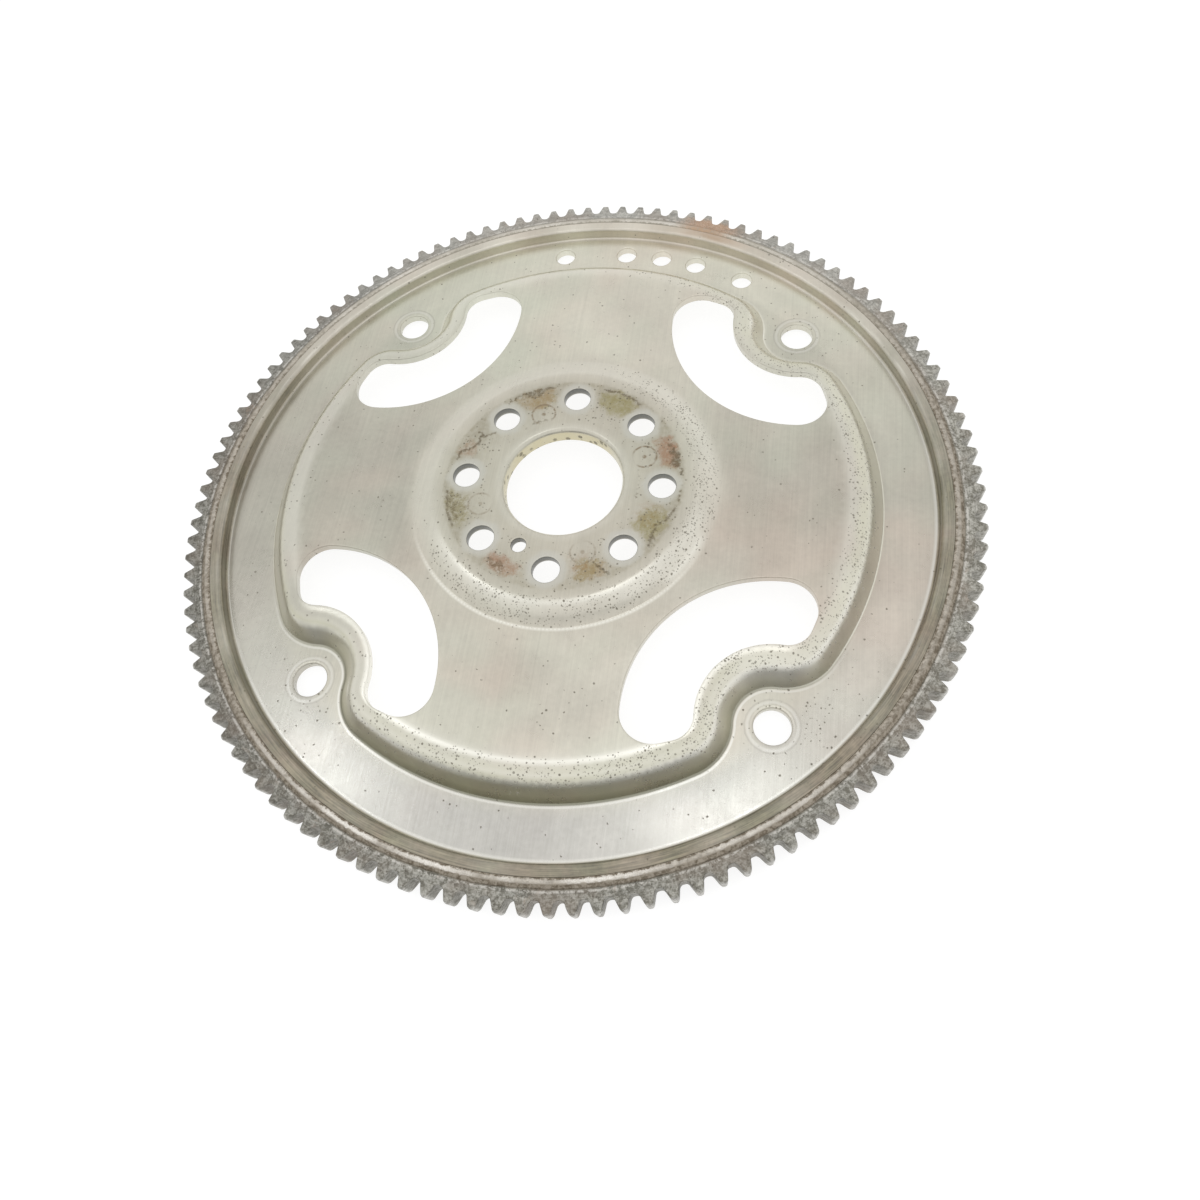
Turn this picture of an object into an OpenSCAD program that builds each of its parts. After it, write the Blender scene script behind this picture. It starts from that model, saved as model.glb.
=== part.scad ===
// Flexplate: pressed steel drive plate with a welded starter ring gear.
// Axis of rotation on Z, lower face of the ring gear on Z = 0, millimetres.

/* [Ring gear] */
// Number of starter teeth
teeth = 119; // [118:1:122]
// Tooth module (pitch circle = teeth x module)
tooth_module = 2.54; // [2.52:0.01:2.60]
// Stub tooth addendum, as a share of the module
addendum_share = 0.8333; // [0.75:0.01:0.95]
// Pressure angle of the flanks
pressure_angle = 20; // [17:0.5:22]
// Face width of the ring gear
gear_w = 9.2; // [8.8:0.1:9.6]
// Chamfer at the tips, both faces
tip_chamfer = 0.7; // [0.3:0.1:1.2]
// How much thinner a tooth is than its half of the pitch
backlash = 0.6; // [0.3:0.1:0.8]
// Angle of the first tooth
tooth_phase = 1.5; // [0:0.1:3]

/* [Rim] */
// Radius of the seat between the rim flange and the ring gear
seat_r = 141.65; // [141.4:0.05:142]
// Height of the flange top above the annulus
flange_h = 4.9; // [4.6:0.1:5.2]
// Bend radius of the rim flange, added to the sheet on its lower side
rim_bend = 1.95; // [1.6:0.05:2.3]
// Thickness of the flange, from its inner wall to the seat
flange_t = 4.25; // [4.1:0.05:4.4]
// Rounding of the flange's inner edge
flange_edge = 1.4; // [1:0.1:1.6]

/* [Plate] */
// Sheet thickness
sheet = 3.5; // [3:0.1:3.7]
// Height of the annulus top above the gear's lower face
annulus_z = 5.1; // [4.8:0.1:5.4]
// Height of the web above the annulus
web_h = 9.1; // [8.5:0.1:9.8]
// Height of the hub above the web
hub_h = 3.5; // [3:0.1:4.2]
// Foot radius of the step between web and annulus
step_foot_r = 118.6; // [118.2:0.1:118.9]
// Width of the step in plan
step_w = 12.2; // [11.8:0.1:12.4]
// Shoulder radius at the top of the step
step_shoulder = 9.3; // [9:0.1:9.6]
// Fillet radius at the foot of the step
step_fillet = 1.2; // [1:0.1:1.5]
// Radius of the hub flat
hub_flat_r = 48.3; // [47.8:0.1:48.8]
// Width of the dish round the hub
hub_dish_w = 10.5; // [10:0.5:11]

/* [Converter pads] */
// Converter bolt circle diameter
lug_pcd = 235; // [234:0.5:236]
// Converter hole diameter
lug_hole_d = 12.7; // [11:0.1:14]
// Radius of the pad round each converter hole, at the foot of the step
pad_r = 12.9; // [12.6:0.1:13.1]
// Radius that blends a pad into the round of the step
pad_blend = 20.4; // [20:0.1:20.8]

/* [Windows] */
// Inner edge of a window, measured from its converter hole
window_in = 26; // [25.6:0.1:27]
// Outer edge of a window, measured from its converter hole
window_out = 50.7; // [49.5:0.1:51.5]
// Half angle of a window seen from its converter hole
window_half = 63.5; // [55:0.5:64]
// Corner radius next to the pad
window_c1 = 8.8; // [6:0.1:9.2]
// Corner radius next to the hub
window_c2 = 11.2; // [8:0.1:11.6]

/* [Hub] */
// Pilot hole diameter
pilot_d = 45; // [44:0.1:46]
// Rounding of the pilot hole's lip
pilot_lip = 2.2; // [1.6:0.1:2.6]
// Depth of the drawn collar, from the hub face
collar_depth = 6.4; // [5.8:0.1:7]
// Wall of the drawn collar
collar_wall = 2.8; // [2.4:0.1:3.2]
// Crankshaft bolt circle diameter
bolt_pcd = 75.2; // [74.5:0.1:76]
// Crankshaft bolt hole diameter
bolt_hole_d = 10.2; // [9:0.1:11]
// Number of crankshaft bolts
bolt_count = 8; // [6:2:8]
// Locating hole diameter
dowel_d = 5.6; // [4:0.1:6.5]
// Locating hole, distance from the axis
dowel_r = 30.8; // [30.4:0.1:31.4]

/* [Balance holes] */
// Balance hole diameter
balance_d = 8.5; // [6:0.1:9.5]
// Balance holes, distance from the axis
balance_r = 127.4; // [127:0.1:128.5]

/* [Weld] */
// Outer radius of the weld bead
weld_out_r = 144.2; // [143.6:0.1:144.8]
// Height of the weld crown above the gear face
weld_h = 1.2; // [0.9:0.1:1.4]

/* [Hidden] */
$fn = 180;

steel = [0.76, 0.75, 0.71];
gear_grey = [0.56, 0.54, 0.50];
weld_grey = [0.68, 0.65, 0.60];

pitch_r = teeth * tooth_module / 2;
tip_r = pitch_r + addendum_share * tooth_module;
root_r = pitch_r - 1.25 * addendum_share * tooth_module;
base_r = pitch_r * cos(pressure_angle);

lug_r = lug_pcd / 2;
hub_z = web_h + hub_h;
step_in_r = step_foot_r - step_w;
hub_foot_r = hub_flat_r + hub_dish_w;

// centre of a pad's blend arc, with the converter hole on the +X axis
blend_far = step_foot_r - pad_blend;
blend_near = pad_r + pad_blend;
blend_x = (blend_far * blend_far + lug_r * lug_r - blend_near * blend_near) / (2 * lug_r);
blend_y = sqrt(blend_far * blend_far - blend_x * blend_x);
blend_a0 = atan2(-blend_y, lug_r - blend_x);
blend_a1 = atan2(blend_y, blend_x);
// flat faces in the round of each corner
corner_n = 3;

// balance holes: angles from the +X axis
balance_a = [62.7, 72.7, 79.8, 87, 99.5];

// involute function, and half the angle of a tooth at radius r
function inv_deg(r) = let(a = acos(min(1, base_r / r))) tan(a) * 180 / PI - a;
function half_tooth(r) = 90 / teeth - 90 * backlash / PI / pitch_r + inv_deg(pitch_r) - inv_deg(r);

// one S-shaped fall: h high and w wide, with the shoulder a1 and fillet a2, moved in by d
function fall(h, w, a1, a2, d, n = 4) =
    let(s = a1 + a2, al = asin(s / sqrt(w * w + (h - s) * (h - s))) + atan2(h - s, w))
    concat(
        [for (i = [0 : n]) let(u = al * i / n) [(a1 - d) * sin(u), h - a1 + (a1 - d) * cos(u)]],
        [for (i = [0 : n]) let(u = al * (1 - i / n)) [w - (a2 + d) * sin(u), a2 - (a2 + d) * cos(u)]]);

function step_line(d) = fall(web_h, step_w, step_shoulder, step_fillet, d);
function corner_line(d) = fall(web_h, step_w, step_shoulder - 0.22, step_fillet - 0.14, d, 5);
function dish_line(d) = [for (p = fall(hub_h, hub_dish_w, 8, 1.5, d)) [p[0], p[1] + web_h]];

// quarter arc points about (cx, cz) from angle a to b
function arc(cx, cz, r, a, b, n = 6) =
    [for (i = [0 : n]) let(u = a + (b - a) * i / n) [cx + r * cos(u), cz + r * sin(u)]];

module spin_profile(pts) { rotate_extrude($fn = 180) polygon(pts); }

// everything under the plate's surface, with the surface moved down by d
module under(d) {
    low = -12 - d;
    difference() {
        spin_profile(concat([[0, low], [0, web_h - d]],
            [for (p = step_line(d)) [step_in_r + p[0], p[1]]],
            [[step_foot_r, low]]));
        for (k = [0 : 3]) rotate(45 + 90 * k) {
            // pad: cut down to the annulus level
            translate([lug_r, 0, 0]) spin_profile(concat(
                [[0, low - 1], [pad_r, low - 1]],
                [for (i = [len(step_line(d)) - 1 : -1 : 0])
                    let(p = step_line(d)[i]) [pad_r + step_w - p[0], p[1]]],
                [[pad_r + step_w, web_h + 6], [0, web_h + 6]]));
            // corners between pad and step, rounded by flat faces
            for (m = [0, 1]) mirror([0, m, 0]) translate([blend_x, blend_y, 0])
                for (j = [0 : corner_n - 1]) {
                    a = blend_a0 + (blend_a1 - blend_a0) * (j + 0.5) / corner_n;
                    from = blend_near * sin(blend_a0 - a) + 0.7 + j;
                    rotate(a) translate([0, 40, 0]) rotate([90, 0, 0]) linear_extrude(40 - from)
                        polygon(concat([[pad_blend - step_w, web_h + 6]],
                            [for (p = corner_line(d)) [pad_blend - step_w + p[0], p[1]]],
                            [[pad_blend, low - 2], [pad_blend + 34, low - 2], [pad_blend + 34, web_h + 6]]));
                }
        }
    }
    // hub and its dish
    spin_profile(concat([[0, low], [0, hub_z - d]],
        [for (p = dish_line(d)) [hub_flat_r + p[0], p[1]]],
        [[hub_foot_r, low]]));
}

module sheet_top() {
    under(0);
    spin_profile(concat([[0, -14], [0, 0]],
        arc(seat_r - flange_t - 1.2, 1.2, 1.2, -90, 0),
        arc(seat_r - flange_t + flange_edge, flange_h - flange_edge, flange_edge, 180, 90, 4),
        [[seat_r - 0.3, flange_h], [seat_r, flange_h - 0.3], [seat_r, -14]]));
}

module sheet_under() {
    under(sheet);
    spin_profile(concat([[0, -17], [0, -sheet]],
        arc(seat_r - sheet - rim_bend + 0.05, rim_bend, rim_bend + sheet, -90, 0, 6),
        [[seat_r + 2, rim_bend], [seat_r + 2, -17]]));
}

// outline of one window, its converter hole at the origin and the axis towards -X
function window_half_line() =
    let(d1 = window_in + window_c1, f1 = window_half - asin(window_c1 / d1),
        d2 = window_out - window_c2, f2 = window_half - asin(window_c2 / d2))
    concat(
        [for (i = [0 : 10]) let(u = f1 * i / 10) window_in * [cos(u), sin(u)]],
        [for (i = [1 : 8]) let(u = f1 + 180 - (90 + (f1 - window_half) + 0) * i / 8)
            d1 * [cos(f1), sin(f1)] + window_c1 * [cos(u), sin(u)]],
        [for (i = [0 : 8]) let(u = window_half + 90 - (90 + window_half - f2) * i / 8)
            d2 * [cos(f2), sin(f2)] + window_c2 * [cos(u), sin(u)]],
        [for (i = [1 : 12]) let(u = f2 * (1 - i / 12)) window_out * [cos(u), sin(u)]]);

module window_cut() {
    half = window_half_line();
    n = len(half);
    linear_extrude(60) polygon([for (i = [0 : n - 1]) [-half[i][0], half[i][1]],
        for (i = [n - 2 : -1 : 1]) [-half[i][0], -half[i][1]]]);
}

module drive_plate() color(steel) translate([0, 0, annulus_z]) difference() {
    union() {
        difference() { sheet_top(); sheet_under(); }
        // drawn collar round the pilot hole
        translate([0, 0, hub_z]) spin_profile([[pilot_d / 2 - 1, -collar_depth],
            [pilot_d / 2 + collar_wall - 0.5, -collar_depth], [pilot_d / 2 + collar_wall, -collar_depth + 0.5],
            [pilot_d / 2 + collar_wall, -sheet - 1.2], [pilot_d / 2 + collar_wall + 0.4, -sheet - 0.5],
            [pilot_d / 2 + collar_wall + 1.4, -sheet + 0.1], [pilot_d / 2 + collar_wall + 1.4, -1],
            [pilot_d / 2 - 1, -1]]);
    }
    // pilot hole and its rounded lip
    cylinder(d = pilot_d, h = 60);
    translate([0, 0, hub_z]) spin_profile(concat([[pilot_d / 2 - 4, 3], [pilot_d / 2 - 4, -pilot_lip]],
        arc(pilot_d / 2 + pilot_lip, -pilot_lip, pilot_lip, 180, 90), [[pilot_d / 2 + pilot_lip, 3]]));
    // crankshaft bolts and locating hole
    for (k = [0 : bolt_count - 1]) rotate(360 * k / bolt_count) translate([bolt_pcd / 2, 0, 0])
        cylinder(d = bolt_hole_d, h = 60, $fn = 64);
    rotate(247.5) translate([dowel_r, 0, 0]) cylinder(d = dowel_d, h = 60, $fn = 48);
    // converter holes and windows
    for (k = [0 : 3]) rotate(45 + 90 * k) translate([lug_r, 0, -20]) {
        cylinder(d = lug_hole_d, h = 40, $fn = 64);
        window_cut();
    }
    // balance holes
    for (a = balance_a) rotate(a) translate([balance_r, 0, -20]) cylinder(d = balance_d, h = 40, $fn = 48);
}

// one gear outline: root, involute flanks and tip, tooth after tooth
function gear_line() =
    let(rs = [for (i = [0 : 3]) root_r + 0.5 + (tip_r - root_r - 0.5) * i / 3], p = 360 / teeth)
    [for (k = [0 : teeth - 1]) let(c = tooth_phase + k * p) each concat(
        [root_r * [cos(c - p / 2 + 0.16), sin(c - p / 2 + 0.16)]],
        [for (r = rs) let(a = c - half_tooth(r)) r * [cos(a), sin(a)]],
        [for (i = [3 : -1 : 0]) let(a = c + half_tooth(rs[i])) rs[i] * [cos(a), sin(a)]],
        [root_r * [cos(c + p / 2 - 0.16), sin(c + p / 2 - 0.16)]])];

module ring_gear() color(gear_grey) intersection() {
    linear_extrude(gear_w) polygon(gear_line());
    spin_profile([[seat_r, -1], [seat_r, gear_w - 0.9], [seat_r + 1.9, gear_w + 1],
        [tip_r - tip_chamfer - 1, gear_w + 1], [tip_r - tip_chamfer, gear_w],
        [tip_r + 0.2, gear_w - tip_chamfer - 0.2], [tip_r + 0.2, tip_chamfer + 0.2],
        [tip_r - tip_chamfer, 0], [tip_r - tip_chamfer - 1, -1]]);
}

// weld bead: fills the groove between flange and gear, with a low crown
module rim_weld() color(weld_grey) spin_profile(concat(
    [[seat_r, gear_w - 0.9], [seat_r + 0.9, gear_w], [weld_out_r, gear_w]],
    [for (i = [1 : 7]) let(u = i / 8) [weld_out_r - (weld_out_r - seat_r) * u,
        gear_w + weld_h * sin(180 * pow(u, 0.9)) + 0.35 * u]],
    [[seat_r, gear_w + 0.35]]));

drive_plate();
ring_gear();
rim_weld();
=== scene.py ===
import math
import bpy
import bmesh
import numpy as np
from mathutils import Matrix, Vector
from mathutils.geometry import delaunay_2d_cdt


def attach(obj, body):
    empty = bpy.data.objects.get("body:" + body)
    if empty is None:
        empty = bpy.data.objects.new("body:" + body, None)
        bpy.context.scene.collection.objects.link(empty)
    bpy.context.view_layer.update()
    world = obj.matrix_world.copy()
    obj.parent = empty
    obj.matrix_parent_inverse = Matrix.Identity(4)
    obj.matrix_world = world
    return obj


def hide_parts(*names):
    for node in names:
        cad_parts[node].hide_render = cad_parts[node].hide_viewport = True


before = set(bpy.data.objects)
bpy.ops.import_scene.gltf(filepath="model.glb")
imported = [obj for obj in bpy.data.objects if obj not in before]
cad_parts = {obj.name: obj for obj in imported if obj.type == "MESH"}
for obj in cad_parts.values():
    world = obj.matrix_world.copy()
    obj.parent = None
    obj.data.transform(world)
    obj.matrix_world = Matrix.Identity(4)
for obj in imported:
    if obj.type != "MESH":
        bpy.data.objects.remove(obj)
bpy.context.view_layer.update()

scene = bpy.context.scene
PI = math.pi

# ---------------------------------------------------------------- sizes, in millimetres, as in the frame
TEETH, MODULE, ADD, PA = 119, 2.54, 0.8333, math.radians(20)
PITCH = TEETH * MODULE / 2
TIP, ROOT = PITCH + ADD * MODULE, PITCH - 1.25 * ADD * MODULE
PHASE = math.radians(1.5)
GEAR_W, SEAT = 9.2, 141.65
SHEET, ANN, WEB, HUB = 3.5, 5.1, 9.1, 3.5
FOOT, STEP_W, SHOULDER, FILLET = 118.6, 12.2, 9.3, 1.2
HUB_FLAT, DISH_W = 48.3, 10.5
HUB_FOOT, HUB_Z = HUB_FLAT + DISH_W, WEB + HUB
LUG, LUG_HOLE, PAD, BLEND = 117.5, 6.35, 12.9, 20.4
WIN_IN, WIN_OUT, WIN_HALF, WIN_C1, WIN_C2 = 26.0, 50.7, math.radians(63.5), 8.8, 11.2
PILOT, LIP, COLLAR, COLLAR_WALL = 22.5, 2.2, 6.4, 2.8
BOLT_R, BOLT_HOLE, DOWEL_R, DOWEL_HOLE = 37.6, 5.1, 30.8, 2.8
BAL_R, BAL_HOLE, BAL_ANG = 127.4, 4.25, (62.7, 72.7, 79.8, 87.0, 99.5)
FLANGE, BEND = 4.9, 1.95
FLANGE_T, FLANGE_EDGE, BACKLASH = 4.25, 1.4, 0.6
RIM_IN = SEAT - SHEET - BEND

BX = ((FOOT - BLEND) ** 2 + LUG ** 2 - (PAD + BLEND) ** 2) / (2 * LUG)
BY = math.sqrt((FOOT - BLEND) ** 2 - BX ** 2)
BA0, BA1 = math.atan2(-BY, LUG - BX), math.atan2(BY, BX)


def wave(a, seed, k0, k1, n=14):
    """A smooth closed random line over the angle a, of about unit height."""
    g = np.random.default_rng(seed)
    k = g.integers(k0, k1 + 1, n)
    p = g.uniform(0, 2 * PI, n)
    w = g.uniform(0.4, 1.0, n)
    return sum(w[i] * np.sin(k[i] * a + p[i]) for i in range(n)) / math.sqrt((w ** 2).sum() / 2) * 0.7


def field(x, y, seed, low, high, n=18):
    """A smooth random field over the plan, of about unit height, with waves from low to high mm long."""
    g = np.random.default_rng(seed)
    out = 0
    for i in range(n):
        q = 2 * PI / math.exp(g.uniform(math.log(low), math.log(high)))
        t = g.uniform(0, 2 * PI)
        out = out + np.sin(q * (x * math.cos(t) + y * math.sin(t)) + g.uniform(0, 2 * PI))
    return out / math.sqrt(n / 2) * 0.7


def step01(v, lo, hi):
    t = np.clip((v - lo) / (hi - lo), 0, 1)
    return t * t * (3 - 2 * t)


# ---------------------------------------------------------------- the pressed sheet's height
def fall(h, w, a1, a2, d, n=24):
    s = a1 + a2
    al = math.asin(s / math.hypot(w, h - s)) + math.atan2(h - s, w)
    u = np.linspace(0, al, n + 1)
    v = u[::-1]
    return (np.r_[(a1 - d) * np.sin(u), w - (a2 + d) * np.sin(v)],
            np.r_[h - a1 + (a1 - d) * np.cos(u), a2 - (a2 + d) * np.cos(v)])


STEP = {d: fall(WEB, STEP_W, SHOULDER, FILLET, d) for d in (0.0, SHEET)}
DISH = {d: fall(HUB, DISH_W, 8, 1.5, d) for d in (0.0, SHEET)}


def lug_frame(x, y):
    r, a = np.hypot(x, y), np.arctan2(y, x)
    p = (a % (PI / 2)) - PI / 4
    return r, r * np.cos(p), np.abs(r * np.sin(p))


def inward(x, y):
    """Distance in plan from the foot of the step, positive towards the web."""
    r, X, Y = lug_frame(x, y)
    d = np.minimum(FOOT - r, np.hypot(X - LUG, Y) - PAD)
    q, a = np.hypot(X - BX, Y - BY), np.arctan2(Y - BY, X - BX)
    return np.where((a > BA0) & (a < BA1), BLEND - q, d)


def height(x, y, d):
    r = np.hypot(x, y)
    z = np.interp(STEP_W - inward(x, y), *STEP[d])
    zh = np.interp(r - HUB_FLAT, *DISH[d]) + WEB
    z = np.where(r < HUB_FOOT, zh, z)
    calm = step01(r, 50, 62) * (1 - step01(r, 128, 136))
    return z + 0.035 * calm * field(x, y, 5, 26, 90)


# ---------------------------------------------------------------- plan outlines
def circle(n, r, c=(0, 0), turn=0.0):
    a = 2 * PI * np.arange(n) / n + turn
    u = np.c_[np.cos(a), np.sin(a)]
    return u * r + np.array(c), u


def window_line(step=1.15):
    """Half a window's outline and its normals into the metal, from its converter hole, axis on +X."""
    d1, d2 = WIN_IN + WIN_C1, WIN_OUT - WIN_C2
    f1, f2 = WIN_HALF - math.asin(WIN_C1 / d1), WIN_HALF - math.asin(WIN_C2 / d2)
    P, Nn = [], []

    def run(c, r, a, b, sign):
        n = max(3, int(abs(b - a) * r / step))
        for u in np.linspace(a, b, n + 1):
            P.append((c[0] + r * math.cos(u), c[1] + r * math.sin(u)))
            Nn.append((sign * math.cos(u), sign * math.sin(u)))
    run((0, 0), WIN_IN, 0, f1, -1)
    run((d1 * math.cos(f1), d1 * math.sin(f1)), WIN_C1, f1 + PI, WIN_HALF + PI / 2, 1)
    run((d2 * math.cos(f2), d2 * math.sin(f2)), WIN_C2, WIN_HALF + PI / 2, f2, 1)
    run((0, 0), WIN_OUT, f2, 0, 1)
    P, Nn = np.array(P), np.array(Nn)
    keep = np.r_[True, np.hypot(*(P[1:] - P[:-1]).T) > 1e-4]
    P, Nn = P[keep], Nn[keep]
    # fill the straight end between the two corners
    gap = np.hypot(*(P[1:] - P[:-1]).T)
    j = int(gap.argmax())
    m = int(gap[j] / step)
    if m > 1:
        t = np.linspace(0, 1, m + 1)[1:-1, None]
        P = np.r_[P[:j + 1], P[j] + (P[j + 1] - P[j]) * t, P[j + 1:]]
        Nn = np.r_[Nn[:j + 1], np.repeat(Nn[j:j + 1], m - 1, 0), Nn[j + 1:]]
    return P, Nn


def window_loop(k):
    P, Nn = window_line()
    half = np.c_[LUG - P[:, 0], P[:, 1]], np.c_[-Nn[:, 0], Nn[:, 1]]
    flip = np.array([1, -1])
    xy = np.r_[half[0], (half[0] * flip)[-2:0:-1]]
    nn = np.r_[half[1], (half[1] * flip)[-2:0:-1]]
    a = PI / 4 + k * PI / 2
    M = np.array([[math.cos(a), math.sin(a)], [-math.sin(a), math.cos(a)]])
    return xy @ M, nn @ M


def inside(pts, poly):
    x, y = pts[:, 0][:, None], pts[:, 1][:, None]
    x0, y0 = poly[:, 0], poly[:, 1]
    x1, y1 = np.roll(x0, -1), np.roll(y0, -1)
    hit = ((y0 > y) != (y1 > y)) & (x < (x1 - x0) * (y - y0) / np.where(y1 == y0, 1e-9, y1 - y0) + x0)
    return hit.sum(1) % 2 == 1


def step_outline():
    """Points round the foot of the step, with their normals towards the web."""
    half = []
    for u in np.linspace(PI, math.atan2(BY, BX - LUG), 13)[:-1]:
        half.append((LUG + PAD * math.cos(u), PAD * math.sin(u), math.cos(u), math.sin(u)))
    for u in np.linspace(BA0, BA1, 23)[:-1]:
        half.append((BX + BLEND * math.cos(u), BY + BLEND * math.sin(u), -math.cos(u), -math.sin(u)))
    for u in np.linspace(BA1, PI / 4, 50):
        half.append((FOOT * math.cos(u), FOOT * math.sin(u), -math.cos(u), -math.sin(u)))
    half = np.array(half)
    full = np.r_[half, (half * [1, -1, 1, -1])[-2:0:-1]]
    out = []
    for k in range(4):
        a = PI / 4 + k * PI / 2
        M = np.array([[math.cos(a), math.sin(a)], [-math.sin(a), math.cos(a)]])
        out.append(np.c_[full[:, :2] @ M, full[:, 2:] @ M])
    return np.vstack(out)


def mesh_object(name, verts, faces, smooth=True):
    me = bpy.data.meshes.new(name)
    me.from_pydata([tuple(v) for v in verts], [], [tuple(int(i) for i in f) for f in faces])
    bm = bmesh.new()
    bm.from_mesh(me)
    bmesh.ops.recalc_face_normals(bm, faces=bm.faces)
    bm.to_mesh(me)
    bm.free()
    me.polygons.foreach_set("use_smooth", [smooth] * len(me.polygons))
    me.update()
    ob = bpy.data.objects.new(name, me)
    scene.collection.objects.link(ob)
    return ob


def add_attr(ob, name, rgba):
    at = ob.data.attributes.new(name, "FLOAT_COLOR", "POINT")
    at.data.foreach_set("color", np.asarray(rgba, np.float32).ravel())


def ring_faces(a, b, n):
    i = np.arange(n)
    j = (i + 1) % n
    return np.c_[a + i, a + j, b + j, b + i]


# ---------------------------------------------------------------- drive plate
def build_plate():
    pts, edges, loops = [], [], []
    count = 0

    def put(xy):
        nonlocal count
        pts.append(np.asarray(xy, float))
        count += len(xy)
        return count - len(xy)

    def loop(xy, normal, rings, hole):
        s = put(xy)
        n = len(xy)
        edges.extend((s + i, s + (i + 1) % n) for i in range(n))
        loops.append(dict(start=s, n=n, xy=np.asarray(xy), normal=normal, rings=rings, hole=hole))

    E = 0.5
    # each ring of a hole's wall: (out from the wall, side, height from that side's face)
    wall = [(0.27, 0, -0.05), (0.10, 0, -0.17), (0.02, 0, -0.36), (0.0, 0, -0.6), (0.03, 1, 1.25), (0.10, 1, 0.30), (0.25, 1, 0.06)]

    def hole(c, r, n):
        xy, u = circle(n, r + E, c)
        loop(xy, u, [(o - E, s, h) for o, s, h in wall], ("disc", c, r + E))
        put(circle(n, r + 1.2, c, PI / n)[0])

    for k in range(8):
        a = k * PI / 4
        hole((BOLT_R * math.cos(a), BOLT_R * math.sin(a)), BOLT_HOLE, 52)
    a = math.radians(247.5)
    hole((DOWEL_R * math.cos(a), DOWEL_R * math.sin(a)), DOWEL_HOLE, 32)
    for k in range(4):
        a = PI / 4 + k * PI / 2
        hole((LUG * math.cos(a), LUG * math.sin(a)), LUG_HOLE, 56)
    for d in BAL_ANG:
        a = math.radians(d)
        hole((BAL_R * math.cos(a), BAL_R * math.sin(a)), BAL_HOLE, 44)
    for k in range(4):
        xy, nn = window_loop(k)
        loop(xy + E * nn, nn, [(o - E, s, h) for o, s, h in wall], ("poly", xy + E * nn))
    # pilot hole: rolled lip, drawn collar
    r0 = PILOT + COLLAR_WALL + 1.4
    xy, u = circle(220, r0)
    rr = [(PILOT + LIP - r0, 0, 0.0)]
    rr += [(PILOT + LIP - LIP * math.sin(t) - r0, 0, -LIP + LIP * math.cos(t)) for t in np.linspace(0.2, PI / 2, 7)]
    rr += [(PILOT - r0, 0, -4.0), (PILOT - r0, 0, -COLLAR + 0.45), (PILOT + 0.15 - r0, 0, -COLLAR + 0.1), (PILOT + 0.5 - r0, 0, -COLLAR),
           (PILOT + COLLAR_WALL - 0.6 - r0, 0, -COLLAR), (PILOT + COLLAR_WALL - 0.15 - r0, 0, -COLLAR + 0.15),
           (PILOT + COLLAR_WALL - r0, 0, -COLLAR + 0.6), (PILOT + COLLAR_WALL - r0, 1, -1.3), (PILOT + COLLAR_WALL + 0.4 - r0, 1, -0.45)]
    loop(xy, u, rr, ("disc", (0, 0), r0))
    # rim: bend, inner wall, flange top, seat
    NR = 720
    xy, u = circle(NR, RIM_IN)
    c = SEAT - FLANGE_T
    e = FLANGE_EDGE
    rim = [(RIM_IN + 0.3, 0.02), (RIM_IN + 0.68, 0.11), (RIM_IN + 0.96, 0.3), (RIM_IN + 1.12, 0.58), (c, 1.0)]
    rim += [(c, 2.4)] + [(c + e - e * math.cos(t), FLANGE - e + e * math.sin(t)) for t in np.linspace(0, PI / 2, 7)]
    rim += [(c + 1.9, FLANGE + 0.01), (c + 2.6, FLANGE + 0.02), (SEAT - 0.5, FLANGE), (SEAT - 0.04, FLANGE), (SEAT, FLANGE - 0.06), (SEAT, BEND)]
    rim += [(RIM_IN + (BEND + SHEET) * math.sin(t), BEND - (BEND + SHEET) * math.cos(t)) for t in np.linspace(PI / 2, 0, 8)[1:-1]]
    loop(xy, u, ("rim", rim), None)

    # step, dish and flats
    band = step_outline()
    xs, _ = fall(WEB, STEP_W, SHOULDER, FILLET, 0.0, 6)
    S = STEP_W - xs
    S = np.sort(np.r_[-1.6, -1.05, -0.7, -0.35, S, 2.6, 4.2, STEP_W + 0.55, STEP_W + 1.3, STEP_W + 2.2])
    for i, s in enumerate(S):
        q = band[:, :2] + band[:, 2:] * s
        put(q)
    xs, _ = fall(HUB, DISH_W, 8, 1.5, 0.0, 5)
    for i, x in enumerate(np.sort(np.r_[-0.8, xs, 4.4, 5.8, 7.2, 8.6, DISH_W + 0.35, DISH_W + 0.75, DISH_W + 1.4])):
        put(circle(260, HUB_FLAT + x, (0, 0), PI / 260 * (i % 2))[0])
    put(circle(220, r0 + 0.7, (0, 0), PI / 220)[0])
    put(circle(NR, RIM_IN - 0.8, (0, 0), PI / NR)[0])
    fixed = np.vstack(pts)

    def hexgrid(step, half):
        gx = np.arange(-half, half, step)
        gy = np.arange(-half, half, step * 0.866)
        X, Y = np.meshgrid(gx, gy)
        X = X + np.where(np.arange(len(gy)) % 2 == 0, 0, step / 2)[:, None]
        g = np.random.default_rng(3)
        return np.c_[X.ravel(), Y.ravel()] + g.uniform(-0.12, 0.12, (X.size, 2)) * step

    from mathutils.kdtree import KDTree
    tree = KDTree(len(fixed))
    for i, q in enumerate(fixed):
        tree.insert((q[0], q[1], 0), i)
    tree.balance()
    wins = [L["hole"][1] for L in loops if L["hole"] and L["hole"][0] == "poly"]
    discs = [L["hole"][1:] for L in loops if L["hole"] and L["hole"][0] == "disc"]

    def in_hole(q):
        m = np.zeros(len(q), bool)
        for c, r in discs:
            m |= np.hypot(q[:, 0] - c[0], q[:, 1] - c[1]) < r - 1e-3
        for w in wins:
            near = np.all((q > w.min(0) - 1) & (q < w.max(0) + 1), 1)
            m[near] |= inside(q[near], w)
        return m

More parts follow.
